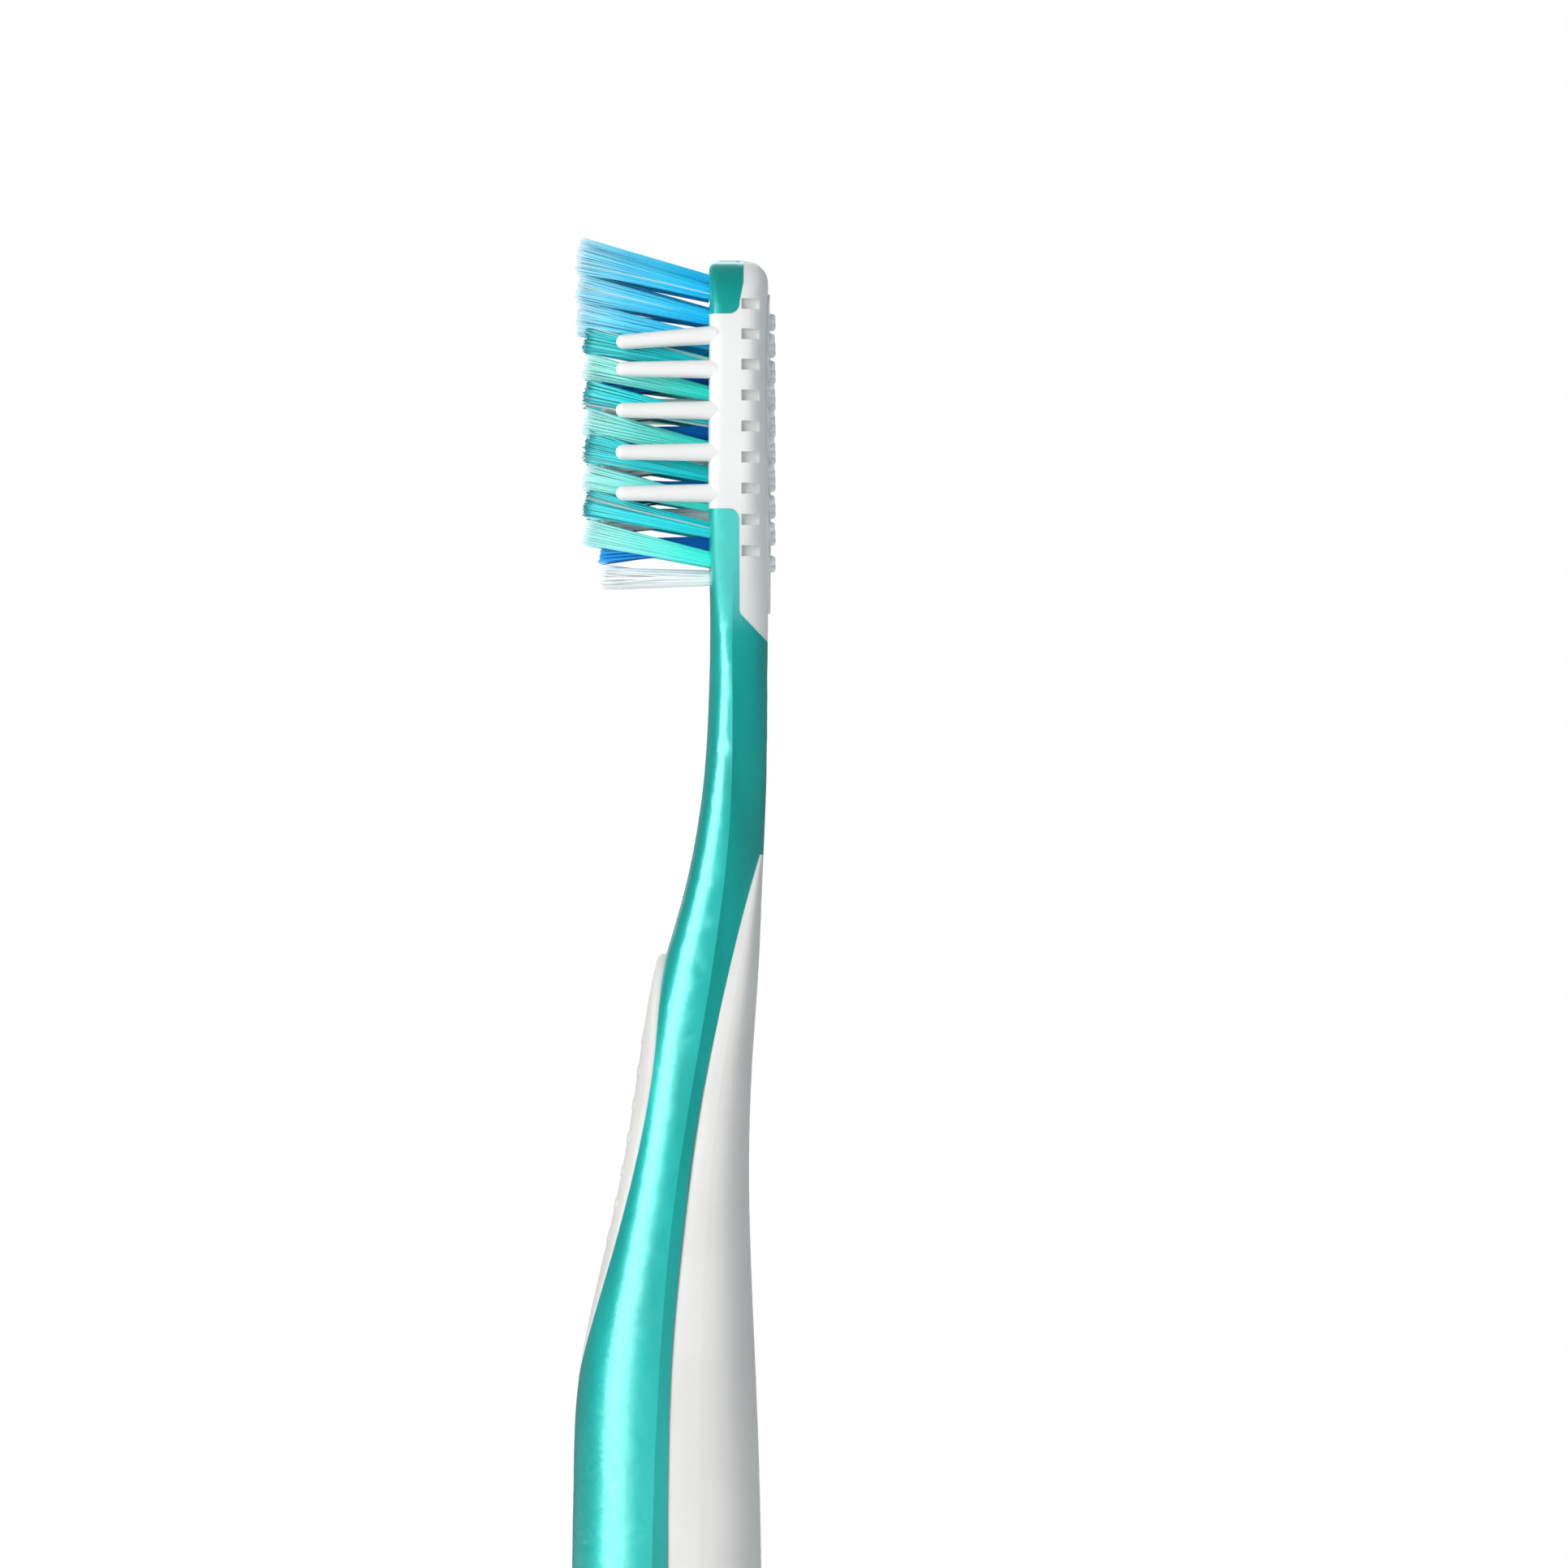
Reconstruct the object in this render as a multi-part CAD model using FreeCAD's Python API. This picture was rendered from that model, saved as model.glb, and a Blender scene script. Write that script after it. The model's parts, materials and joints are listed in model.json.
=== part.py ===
import FreeCAD, Part
import math
import os
from FreeCAD import Vector

# Manual toothbrush, sizes in mm. The foot of the handle stands at the origin, the head points up (+Z),
# the bristles point forward (-Y) and the brush is the same on its left (-X) and its right (+X).

# Lengths along the brush, from the foot to the tip
TAIL_LENGTH = 75.0
PALM_LENGTH = 16.8
PAD_LENGTH = 37.3
SHOULDER_LENGTH = 9.9
NECK_LENGTH = 16.0
HEAD_FLARE = 20.0
HEAD_NOSE = 15.0

# Widths and depths of the brush
HANDLE_HALF_WIDTH = 6.5
NECK_HALF_WIDTH = 3.0
HEAD_HALF_WIDTH = 6.65
HEAD_FACE = 2.83
HEAD_THICKNESS = 5.25
NOSE_FRONT_ROUND = 0.7
NOSE_BACK_ROUND = 2.0
FOOT_ROUND_HEIGHT = 3.5
FOOT_ROUND_INSET = 2.6

# Thumb pad with its ribs
PAD_WIDTH = 9.4
PAD_DEPTH = 2.3
PAD_PROUD = 0.7
PAD_RIM_ROUND = 0.7
RIB_COUNT = 7
RIB_PITCH = 2.9
RIB_WIDTH = 0.9
RIB_HEIGHT = 0.08
RIB_EDGE_GAP = 1.9
RIB_DROP = 7.4

# Back grip over the spine of the core
GRIP_WALL = 2.0
GRIP_SWELL = 0.1
GRIP_START = 10.0
GRIP_TOP_GAP = 1.2

# Round line left by a mould pin on the front of the neck
MARK_RADIUS = 1.2
MARK_WIDTH = 0.12
MARK_DEPTH = 0.06
MARK_DROP = 36.3

# Head rubber: side band, back, pockets and fingers
RUBBER_WALL = 1.4
BACK_WALL = 1.5
SIDE_SEAM = 2.75
BAND_TOP_DROP = 4.9
BAND_LENGTH = 17.05
SEAM_ROUND = 0.9
NOSE_SEAM_STEP = 0.35
RUBBER_TAIL_DROP = 31.0
TAIL_SLANT = 46.0
POCKET_COUNT = 9
POCKET_PITCH = 2.7
POCKET_DROP = 4.0
POCKET_HEIGHT = 0.95
POCKET_LENGTH = 1.55
POCKET_FRONT_DEPTH = 0.6
POCKET_BACK_DEPTH = 1.15
FINGER_LENGTH = 8.05
FINGER_ROOT_RADIUS = 0.82
FINGER_TIP_RADIUS = 0.65
FINGER_ROOT_SET = 0.7
FINGER_INSET = 0.85

# Tongue cleaner
CLEANER_INSET = 2.6
CLEANER_PROUD = 0.2
CLEANER_SUNK = 0.2
CLEANER_TOP_DROP = 3.0
CLEANER_LENGTH = 28.0
NUB_RADIUS = 0.45
NUB_HEIGHT = 0.65
NUB_EDGE_GAP = 0.15
NUB_SPACING = 0.95
NUB_RISE = 0.6
NUB_PITCH = 2.36
NUB_TOP_GAP = 2.7
NUB_END_GAP = 3.0

# Bristle tufts with their holes and anchors
TUFT_RADIUS = 0.75
TUFT_FLARE = 0.2
INNER_FLARE = 0.1
TUFT_FIT = 0.02
TUFT_EDGE_GAP = 0.8
TUFT_ROW_STEP = 0.9
TUFT_PAIR_HALF = 0.95
HOLE_FLOOR = 0.35
ANCHOR_THICKNESS = 0.25
ANCHOR_HEIGHT = 1.2
ANCHOR_BITE = 0.15
ANCHOR_FLOOR_GAP = 0.3
LONG_TRIM = 11.5
SIDE_TRIM = 10.9
INNER_TRIM = 9.5

# Tuft rows along the sides and the middle: drops below the tip of the head, and leans in degrees
SIDE_COUNT = 4
SIDE_DROP = 9.3
TUFT_PITCH = 4.83
SIDE_RISE = 12.5
SIDE_LEAN = 2.5
MINT_STEP = 2.5
DEEP_STEP = 1.1
WHITE_STEP = 3.5
INNER_FALL = 3.5
HEEL_DROP = 27.9

# Fingers on each side of the head: drop of the root below the tip of the head, and droop in degrees
FINGERS = ((6.75, 4.4), (9.8, 0.0), (13.4, 0.0), (17.05, 0.0), (20.6, 0.0))

# Rows of tip tufts: gap to the edge of the head (none for one in the middle), drop, rise, outward lean
TIP_ROWS = (
    (None, 1.85, 14.2, 0.0), (0.85, 2.85, 14.0, 2.0), (None, 4.75, 13.5, 0.0),
    (RUBBER_WALL + 0.22, 5.15, 13.0, 2.0), (RUBBER_WALL + 0.66, 7.3, 12.5, 0.0), (None, 8.05, 12.5, 0.0),
)

# Places worked out from the sizes
Z_PALM = TAIL_LENGTH
Z_PAD_END = Z_PALM + PALM_LENGTH
Z_PAD_TOP = Z_PAD_END + PAD_LENGTH
Z_PAD_MIDDLE = Z_PAD_END + PAD_LENGTH / 2
Z_GRIP_TOP = Z_PAD_TOP + SHOULDER_LENGTH
Z_NECK_TOP = Z_GRIP_TOP + NECK_LENGTH
Z_WIDE = Z_NECK_TOP + HEAD_FLARE
Z_TIP = Z_WIDE + HEAD_NOSE
HEAD_BACK = HEAD_FACE + HEAD_THICKNESS
HEAD_MIDDLE = HEAD_FACE + HEAD_THICKNESS / 2
SEAM = HEAD_FACE + SIDE_SEAM
HOLE_DEPTH = SIDE_SEAM - HOLE_FLOOR
SIDE_ROW = HEAD_HALF_WIDTH - RUBBER_WALL - TUFT_RADIUS - TUFT_EDGE_GAP
# A distance beyond every piece, for cutting shapes
FAR = 40.0
# Points on a quarter of a section
QUARTER_STEPS = 12


def tail(share):
    return TAIL_LENGTH * share


def palm(share):
    return Z_PALM + PALM_LENGTH * share


def pad(share):
    return Z_PAD_END + PAD_LENGTH * share


def shoulder(share):
    return Z_PAD_TOP + SHOULDER_LENGTH * share


def neck(share):
    return Z_GRIP_TOP + NECK_LENGTH * share


def flare(share):
    return Z_NECK_TOP + HEAD_FLARE * share


def profile(points):
    """Smooth curve through (height, value) points, read with at()."""
    curve = Part.BSplineCurve()
    spots = [Vector(0, value, height) for height, value in points]
    curve.interpolate(Points=spots, Parameters=[height for height, value in points])
    return curve


def at(curve, z):
    """Value of a profile curve at height z."""
    return curve.value(min(max(z, curve.FirstParameter), curve.LastParameter)).y


# Front edge of the core in side view
FRONT = profile([
    (0, -5.0), (tail(0.13), -5.7), (tail(0.35), -7.2), (tail(0.6), -8.6), (tail(0.8), -9.1),
    (palm(0), -9.17), (palm(0.6), -9.0), (palm(0.94), -8.7),
    (pad(0.1), -7.95), (pad(0.38), -5.5), (pad(0.57), -4.0), (pad(0.78), -2.65), (pad(0.9), -1.8),
    (pad(1), -0.85), (shoulder(0.35), 0.2), (shoulder(0.7), 1.05),
    (neck(0.15), HEAD_FACE - 0.78), (neck(0.45), HEAD_FACE - 0.25), (neck(0.8), HEAD_FACE + 0.03),
    (flare(0.1), HEAD_FACE + 0.15), (flare(0.35), HEAD_FACE + 0.09), (flare(0.6), HEAD_FACE),
    (Z_WIDE, HEAD_FACE), (Z_TIP, HEAD_FACE),
])
# Back edge in side view, over the back grip and the head rubber
BACK = profile([
    (0, 5.0), (tail(0.13), 5.5), (tail(0.35), 6.5), (tail(0.6), 7.25),
    (palm(0), 7.47), (palm(0.6), 7.25),
    (pad(0.15), 6.75), (pad(0.49), 6.4), (pad(0.78), 6.76), (pad(0.95), 7.2), (shoulder(0.4), 7.47),
    (neck(0), HEAD_BACK - 0.36), (neck(0.4), HEAD_BACK - 0.13), (neck(0.9), HEAD_BACK - 0.06),
    (flare(0.3), HEAD_BACK), (Z_WIDE, HEAD_BACK), (Z_TIP, HEAD_BACK),
])
# Mould ridge along the side, where the section is widest
RIDGE = profile([
    (0, 0.0), (tail(0.35), -1.0), (tail(0.7), -1.9), (palm(0), -2.06), (palm(0.6), -1.8),
    (pad(0.03), -1.4), (pad(0.34), -0.46), (pad(0.65), 1.2), (pad(0.9), 2.8), (shoulder(0.4), 3.95),
    (neck(0), HEAD_MIDDLE - 0.85), (neck(0.5), HEAD_MIDDLE - 0.5),
    (flare(0.3), HEAD_MIDDLE - 0.45), (flare(0.7), HEAD_MIDDLE), (Z_TIP, HEAD_MIDDLE),
])
# Half width in front view, up to the neck
HALF_WIDTH = profile([
    (0, HANDLE_HALF_WIDTH - 1.1), (tail(0.2), HANDLE_HALF_WIDTH - 0.75),
    (tail(0.5), HANDLE_HALF_WIDTH - 0.25), (tail(0.8), HANDLE_HALF_WIDTH), (palm(0.6), HANDLE_HALF_WIDTH),
    (pad(0.2), HANDLE_HALF_WIDTH - 0.05), (pad(0.38), HANDLE_HALF_WIDTH - 0.25),
    (pad(0.57), HANDLE_HALF_WIDTH - 0.75), (pad(0.76), HANDLE_HALF_WIDTH - 1.5),
    (pad(0.95), HANDLE_HALF_WIDTH - 2.3), (neck(0), NECK_HALF_WIDTH + 0.28),
    (neck(0.5), NECK_HALF_WIDTH + 0.08), (neck(1), NECK_HALF_WIDTH),
])
# Seam between the core and the back grip in side view
GRIP_SEAM = profile([
    (GRIP_START, 5.2), (GRIP_START + 5, 3.4), (tail(0.34), 1.6), (tail(0.55), 0.2), (tail(0.8), -0.6),
    (palm(0), -0.74), (palm(0.6), -0.66), (pad(0.1), -0.24), (pad(0.34), 0.6), (pad(0.59), 1.78),
    (pad(0.86), 3.8), (shoulder(0.3), 5.76), (shoulder(1), 7.72),
])
# How square the front and the back of the section are, and how much of its width the back loses
FRONT_SQUARE = profile([(0, 2.4), (palm(0), 2.5), (neck(0.5), 2.6), (flare(0.3), 4.0), (flare(0.6), 7.0),
                        (Z_WIDE, 8.0), (Z_TIP, 8.0)])
BACK_SQUARE = profile([(0, 2.3), (palm(0), 2.3), (neck(0.5), 2.3), (flare(0.6), 2.6), (Z_TIP, 2.6)])
NARROWING = profile([(0, 0.2), (tail(0.5), 0.42), (pad(0.5), 0.42), (neck(0), 0.3), (neck(0.8), 0.2),
                     (flare(0.5), 0.0), (Z_WIDE, 0.0), (Z_TIP, 0.0)])
GRIP_FRONT_SQUARE = 2.2
GRIP_BACK_SQUARE = 2.3
GRIP_WIDEST = 0.35


def half_width(z):
    """Half width of the whole brush at height z: handle, flare of the head, round nose."""
    if z < Z_NECK_TOP:
        return at(HALF_WIDTH, z)
    if z < Z_WIDE:
        share = (z - Z_NECK_TOP) / HEAD_FLARE
        return NECK_HALF_WIDTH + (HEAD_HALF_WIDTH - NECK_HALF_WIDTH) * (1 - math.cos(math.pi * share)) / 2
    share = (z - Z_WIDE) / HEAD_NOSE
    return HEAD_HALF_WIDTH * math.sqrt(max(0.0, 1 - share * share))


def rounding(height, inset, distance):
    """Inset of a rounded end at a distance from it."""
    if distance >= height:
        return 0.0
    share = (height - distance) / height
    return inset * (1 - math.sqrt(max(0.0, 1 - share * share)))


def spread(low, high, step):
    """Heights from low to high, evenly spaced by about one step."""
    count = max(1, round((high - low) / step))
    return [low + (high - low) * index / count for index in range(count + 1)]


def quarter(half, depth, square, narrowing):
    """Quarter of a section, from the ridge almost to the front or back edge, as (across, along) steps."""
    steps = []
    for index in range(QUARTER_STEPS):
        angle = math.radians(90 * index / QUARTER_STEPS)
        c, s = math.cos(angle), math.sin(angle)
        reach = (c ** square + s ** square) ** (-1 / square)
        across = half * reach * c * (1 - narrowing * min(1.0, reach * s))
        steps.append((across, depth * reach * s))
    return steps


def edge(points):
    """Smooth edge through points that are evenly stepped along it."""
    curve = Part.BSplineCurve()
    curve.interpolate(Points=points, Parameters=[float(index) for index in range(len(points))])
    return curve.toShape()


def section(z, front, back, half, ridge, squares, narrowing):
    """Closed outline at height z, made of a front and a back run that meet at the ridges."""
    fore = quarter(half, ridge - front, squares[0], 0.0)
    aft = quarter(half, back - ridge, squares[1], narrowing)
    front_run = [Vector(-x, ridge - y, z) for x, y in fore] + [Vector(0, front, z)]
    front_run += [Vector(x, ridge - y, z) for x, y in reversed(fore)]
    back_run = [Vector(x, ridge + y, z) for x, y in aft] + [Vector(0, back, z)]
    back_run += [Vector(-x, ridge + y, z) for x, y in reversed(aft)]
    return Part.Wire([edge(front_run), edge(back_run)])


def envelope_section(z, front_out=0.0, back_out=0.0):
    """Outline of the whole brush at height z, with the front or back edge moved outward."""
    foot = rounding(FOOT_ROUND_HEIGHT, FOOT_ROUND_INSET, z)
    front = at(FRONT, z) + foot + rounding(NOSE_FRONT_ROUND, NOSE_FRONT_ROUND, Z_TIP - z) - front_out
    back = at(BACK, z) - foot - rounding(NOSE_BACK_ROUND, NOSE_BACK_ROUND, Z_TIP - z) + back_out
    squares = (at(FRONT_SQUARE, z), at(BACK_SQUARE, z))
    flat_tip = 0.004 * HEAD_NOSE
    half = half_width(min(z, Z_TIP - flat_tip)) - foot
    return section(z, front, back, half, at(RIDGE, z), squares, at(NARROWING, z))


def head_heights():
    """Heights of the head's sections, closer together towards the tip."""
    turns = [math.radians(angle) for angle in (15, 30, 43, 54, 63, 70, 76, 81, 85)]
    nose = [Z_WIDE + HEAD_NOSE * math.sin(turn) / math.sin(turns[-1]) for turn in turns]
    return spread(Z_NECK_TOP, Z_WIDE, 2.5) + nose


def body_heights():
    """Heights of the sections of the whole brush, closer together at the round foot."""
    foot = [FOOT_ROUND_HEIGHT * (1 - math.sin(math.radians(angle))) for angle in (90, 72, 54, 36, 18)]
    return foot + spread(FOOT_ROUND_HEIGHT, Z_NECK_TOP, 5.0)[:-1] + head_heights()


def loft(sections):
    return Part.makeLoft(sections, True, False)


def curve_prism(points, beyond):
    """Solid through the whole width, from a side view curve of (Z, Y) points to a plane at Y = beyond."""
    run = edge([Vector(-FAR, y, z) for z, y in points])
    low, high = run.Vertexes[0].Point, run.Vertexes[-1].Point
    rest = Part.makePolygon([high, Vector(-FAR, beyond, high.z), Vector(-FAR, beyond, low.z), low])
    return Part.Face(Part.Wire([run] + rest.Edges)).extrude(Vector(2 * FAR, 0, 0))


def outline_prism(points, along):
    """Solid from a closed outline of straight lines, drawn out along a direction."""
    return Part.Face(Part.makePolygon(points + points[:1])).extrude(along)


def grip_section(z, wall):
    """Outline of the back grip at height z, or of the spine that lies a wall thickness inside it."""
    seam, back, ridge = at(GRIP_SEAM, z), at(BACK, z), at(RIDGE, z)
    share = (seam - ridge) / (back - ridge)
    square = at(BACK_SQUARE, z)
    half = half_width(z) * (1 - share ** square) ** (1 / square) * (1 - at(NARROWING, z) * share)
    widest = seam + GRIP_WIDEST * (back - seam) - wall / 2
    front = at(FRONT, z) + PAD_DEPTH + wall / 2 + 1.0
    squares = (GRIP_FRONT_SQUARE, GRIP_BACK_SQUARE)
    return section(z, front, back - wall, half + GRIP_SWELL - wall, widest, squares, 0.0)


def build_grip():
    """Back grip, the spine of the core inside it, and the space that the grip takes from the core."""
    top = Z_GRIP_TOP - GRIP_TOP_GAP
    space = curve_prism([(z, at(GRIP_SEAM, z)) for z in spread(GRIP_START, top, 7.0)], FAR)
    skin = loft([grip_section(z, 0.0) for z in spread(GRIP_START, top, 5.0)])
    spine = loft([grip_section(z, GRIP_WALL) for z in spread(tail(0.4), pad(0.75), 5.0)])
    return skin.common(space).cut(spine), spine, space


def pad_half(z):
    """Half width of the oval pad at height z."""
    share = (z - Z_PAD_MIDDLE) / (PAD_LENGTH / 2)
    return PAD_WIDTH / 2 * math.sqrt(max(0.0, 1 - share * share))


def pad_skin(above):
    """Body with the surface of the pad on its front: flush at the low end, proud at the top."""
    sections = []
    for z in spread(Z_PAD_END - 4, Z_PAD_TOP + 4, 4.0):
        share = min(max((z - Z_PAD_END) / PAD_LENGTH, 0.0), 1.0)
        sections.append(envelope_section(z, front_out=PAD_PROUD * share ** 2 + above))
    return loft(sections)


def pad_rim(solid):
    """Edges of the pad between its surface and its oval wall."""
    rim = []
    for line in solid.Edges:
        spot = line.valueAt((line.FirstParameter + line.LastParameter) / 2)
        on_wall = abs(abs(spot.x) - pad_half(spot.z)) < 0.05
        in_front = spot.y < at(FRONT, spot.z) + PAD_DEPTH - 0.4
        if on_wall and in_front and line.BoundBox.ZLength > 1:
            rim.append(line)
    return rim


def rib_bar(z):
    """Round-ended bar across the pad at height z, drawn out front to back."""
    radius = RIB_WIDTH / 2
    reach = pad_half(z) - RIB_EDGE_GAP - radius
    bar = Part.makeBox(2 * reach, FAR, RIB_WIDTH, Vector(-reach, -FAR, z - radius))
    spots = [Vector(side * reach, -FAR, z) for side in (-1, 1)]
    ends = [Part.makeCylinder(radius, FAR, spot, Vector(0, 1, 0)) for spot in spots]
    return bar.fuse(ends).removeSplitter()


def build_pad():
    """Thumb pad with its ribs, and the recess that it fills."""
    center = Vector(0, -FAR, Z_PAD_MIDDLE)
    top = Vector(0, -FAR, Z_PAD_TOP)
    outline = Part.Ellipse(top, center + Vector(PAD_WIDTH / 2, 0, 0), center)
    oval = Part.Face(Part.Wire(outline.toShape())).extrude(Vector(0, 2 * FAR, 0))
    floor = [(z, at(FRONT, z) + PAD_DEPTH) for z in spread(Z_PAD_END - 5, Z_PAD_TOP + 5, 6.0)]
    recess = oval.common(curve_prism(floor, -FAR))
    solid = pad_skin(0.0).common(recess)
    solid = solid.makeFillet(PAD_RIM_ROUND, pad_rim(solid))
    bars = [rib_bar(Z_PAD_TOP - RIB_DROP - RIB_PITCH * index) for index in range(RIB_COUNT)]
    under = curve_prism([(z, y - PAD_DEPTH / 4) for z, y in floor], -FAR)
    ribs = pad_skin(RIB_HEIGHT).common(Part.makeCompound(bars)).common(under)
    return solid.fuse(ribs.Solids).removeSplitter(), recess


def build_mark():
    """Cutter for the round line of the mould pin."""
    z = Z_TIP - MARK_DROP
    spot = Vector(0, -FAR, z)
    depth = FAR + HEAD_MIDDLE
    outer = Part.makeCylinder(MARK_RADIUS + MARK_WIDTH / 2, depth, spot, Vector(0, 1, 0))
    inner = Part.makeCylinder(MARK_RADIUS - MARK_WIDTH / 2, depth, spot, Vector(0, 1, 0))
    heights = spread(z - 2 * MARK_RADIUS, z + 2 * MARK_RADIUS, MARK_RADIUS)
    under = loft([envelope_section(height, front_out=-MARK_DEPTH) for height in heights])
    return outer.cut([inner, under])


def plan_prism(inset, low, high, front, back):
    """Solid with the outline of the head moved inward, between two heights and two depths."""
    nose = HEAD_NOSE - inset
    right = [(half_width(z) - inset, z) for z in spread(low, Z_WIDE, 2.5)]
    for angle in (12, 24, 36, 48, 60, 70, 80):
        turn = math.radians(angle)
        right.append(((HEAD_HALF_WIDTH - inset) * math.cos(turn), Z_WIDE + nose * math.sin(turn)))
    points = [Vector(-x, front, z) for x, z in right] + [Vector(0, front, Z_WIDE + nose)]
    points += [Vector(x, front, z) for x, z in reversed(right)]
    wire = Part.Wire([edge(points), Part.makeLine(points[-1], points[0])])
    solid = Part.Face(wire).extrude(Vector(0, back - front, 0))
    return solid.common(Part.makeBox(2 * FAR, 2 * FAR, high - low, Vector(-FAR, -FAR, low)))


def back_window():
    """Opening in the back of the head rubber, where the core comes up to the tongue cleaner."""
    high = Z_TIP - CLEANER_TOP_DROP
    return plan_prism(CLEANER_INSET, high - CLEANER_LENGTH, high, HEAD_MIDDLE, FAR)


def rubber_space():
    """Room of the head rubber: the back of the head round its window, and a band round both sides."""
    band_top = Z_TIP - BAND_TOP_DROP
    band_low = band_top - BAND_LENGTH
    tail_low = Z_TIP - RUBBER_TAIL_DROP
    slant = (HEAD_BACK + 1 - SEAM) * math.tan(math.radians(TAIL_SLANT))
    nose_seam = SEAM + NOSE_SEAM_STEP
    outline = [
        (nose_seam, Z_TIP + 1), (nose_seam, Z_TIP - NOSE_BACK_ROUND), (SEAM, band_top + 1),
        (SEAM, band_top), (-FAR, band_top), (-FAR, band_low), (SEAM, band_low), (SEAM, tail_low),
        (HEAD_BACK + 1, tail_low - slant), (FAR, tail_low - slant), (FAR, Z_TIP + 1),
    ]
    room = outline_prism([Vector(-FAR, y, z) for y, z in outline], Vector(2 * FAR, 0, 0))
    corners = []
    for line in room.Edges:
        spot = line.valueAt((line.FirstParameter + line.LastParameter) / 2)
        at_corner = min(abs(spot.z - z) for z in (band_top, band_low, tail_low)) < 0.01
        if line.BoundBox.XLength > FAR and abs(spot.y - SEAM) < 0.01 and at_corner:
            corners.append(line)
    room = room.makeFillet(SEAM_ROUND, corners)
    plate = plan_prism(RUBBER_WALL, tail_low + 1, Z_TIP, -FAR, HEAD_BACK - BACK_WALL)
    return room.cut([plate, back_window()])


def build_finger(side, drop, droop):
    """One soft finger on the side of the head, from its round root to its round tip."""
    z = Z_TIP - drop
    root = Vector(side * (half_width(z) - FINGER_INSET), HEAD_FACE + FINGER_ROOT_SET, z)
    reach = FINGER_LENGTH + FINGER_ROOT_SET - FINGER_TIP_RADIUS
    way = Vector(0, -math.cos(math.radians(droop)), -math.sin(math.radians(droop)))
    stem = Part.makeCone(FINGER_ROOT_RADIUS, FINGER_TIP_RADIUS, reach, root, way)
    ends = [Part.makeSphere(FINGER_ROOT_RADIUS, root)]
    ends.append(Part.makeSphere(FINGER_TIP_RADIUS, root + way * reach))
    return stem.fuse(ends)


def build_pocket(side, drop):
    """Small hollow in the side of the head rubber that fades out towards the back."""
    z = Z_TIP - drop
    half = half_width(z)
    front = SEAM + NOSE_SEAM_STEP / 2
    back = front + POCKET_LENGTH
    outline = [(half - POCKET_FRONT_DEPTH, front), (half + 1, front)]
    outline += [(half + 1, back), (half - POCKET_BACK_DEPTH, back)]
    low = z - POCKET_HEIGHT / 2
    return outline_prism([Vector(side * x, y, low) for x, y in outline], Vector(0, 0, POCKET_HEIGHT))


def head_skin(back_out):
    """Body of the head with its back moved outward."""
    return loft([envelope_section(z, back_out=back_out) for z in head_heights()])


def build_nub():
    """One nub of the tongue cleaner, standing along Y with its round top at the back."""
    root = CLEANER_SUNK / 2
    stem = Part.makeCylinder(NUB_RADIUS, NUB_HEIGHT + root, Vector(0, -root, 0), Vector(0, 1, 0))
    top = [line for line in stem.Edges if line.BoundBox.YMin > NUB_HEIGHT - 0.01]
    return stem.makeFillet(NUB_RADIUS * 0.7, top)


def build_cleaner():
    """Tongue cleaner: a thin clear strip on the back of the head, with arrow-shaped rows of nubs."""
    strip = head_skin(CLEANER_PROUD).common(back_window()).cut(head_skin(-CLEANER_SUNK))
    nub = build_nub()
    nubs = []
    most = int(HEAD_HALF_WIDTH / NUB_SPACING)
    rows = int((CLEANER_LENGTH - NUB_TOP_GAP - NUB_END_GAP) / NUB_PITCH) + 1
    first = Z_TIP - CLEANER_TOP_DROP - NUB_TOP_GAP
    for row in range(rows):
        for index in range(-most, most + 1):
            x = NUB_SPACING * index
            z = first - NUB_PITCH * row + NUB_RISE * abs(x)
            if abs(x) + NUB_RADIUS + NUB_EDGE_GAP < half_width(z) - CLEANER_INSET:
                square = at(BACK_SQUARE, z)
                bulge = (1 - (abs(x) / half_width(z)) ** square) ** (1 / square)
                nubs.append(nub.translated(Vector(x, HEAD_MIDDLE + (HEAD_BACK - HEAD_MIDDLE) * bulge, z)))
    return strip.fuse(nubs)


def ring(center, radius):
    """Circle parallel to the brush face."""
    return Part.Wire(Part.Circle(center, Vector(0, -1, 0), radius).toShape())


class Tuft:
    """One bundle of bristles: where it leaves the face, how long it is, how it leans and flares."""

    def __init__(self, name, x, drop, trim, rise, inward, flare_out):
        self.name = name
        self.root = Vector(x, HEAD_FACE, Z_TIP - drop)
        self.trim = trim
        self.flare_out = flare_out
        across = -math.tan(math.radians(inward)) * math.copysign(1, x)
        self.slant = Vector(across, -1, math.tan(math.radians(rise)))

    def spot(self, height):
        """Point of the axis at a height above the face."""
        return self.root + self.slant * height

    def hole(self):
        rings = [ring(self.spot(height), TUFT_RADIUS + TUFT_FIT) for height in (-HOLE_DEPTH, HOLE_FLOOR)]
        return Part.makeLoft(rings, True, True)

    def anchor(self):
        length = 2 * (TUFT_RADIUS + TUFT_FIT + ANCHOR_BITE)
        low = self.spot(-HOLE_DEPTH + ANCHOR_FLOOR_GAP + ANCHOR_HEIGHT)
        corner = low - Vector(length / 2, 0, ANCHOR_THICKNESS / 2)
        return Part.makeBox(length, ANCHOR_HEIGHT, ANCHOR_THICKNESS, corner)

    def solid(self):
        rings = [ring(self.spot(-HOLE_DEPTH), TUFT_RADIUS), ring(self.root, TUFT_RADIUS),
                 ring(self.spot(self.trim), TUFT_RADIUS + self.flare_out)]
        return Part.makeLoft(rings, True, True).cut(self.anchor())


def pair(name, x, *rest):
    """The same tuft on the right and on the left."""
    return [Tuft(name + "_right", x, *rest), Tuft(name + "_left", -x, *rest)]


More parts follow.
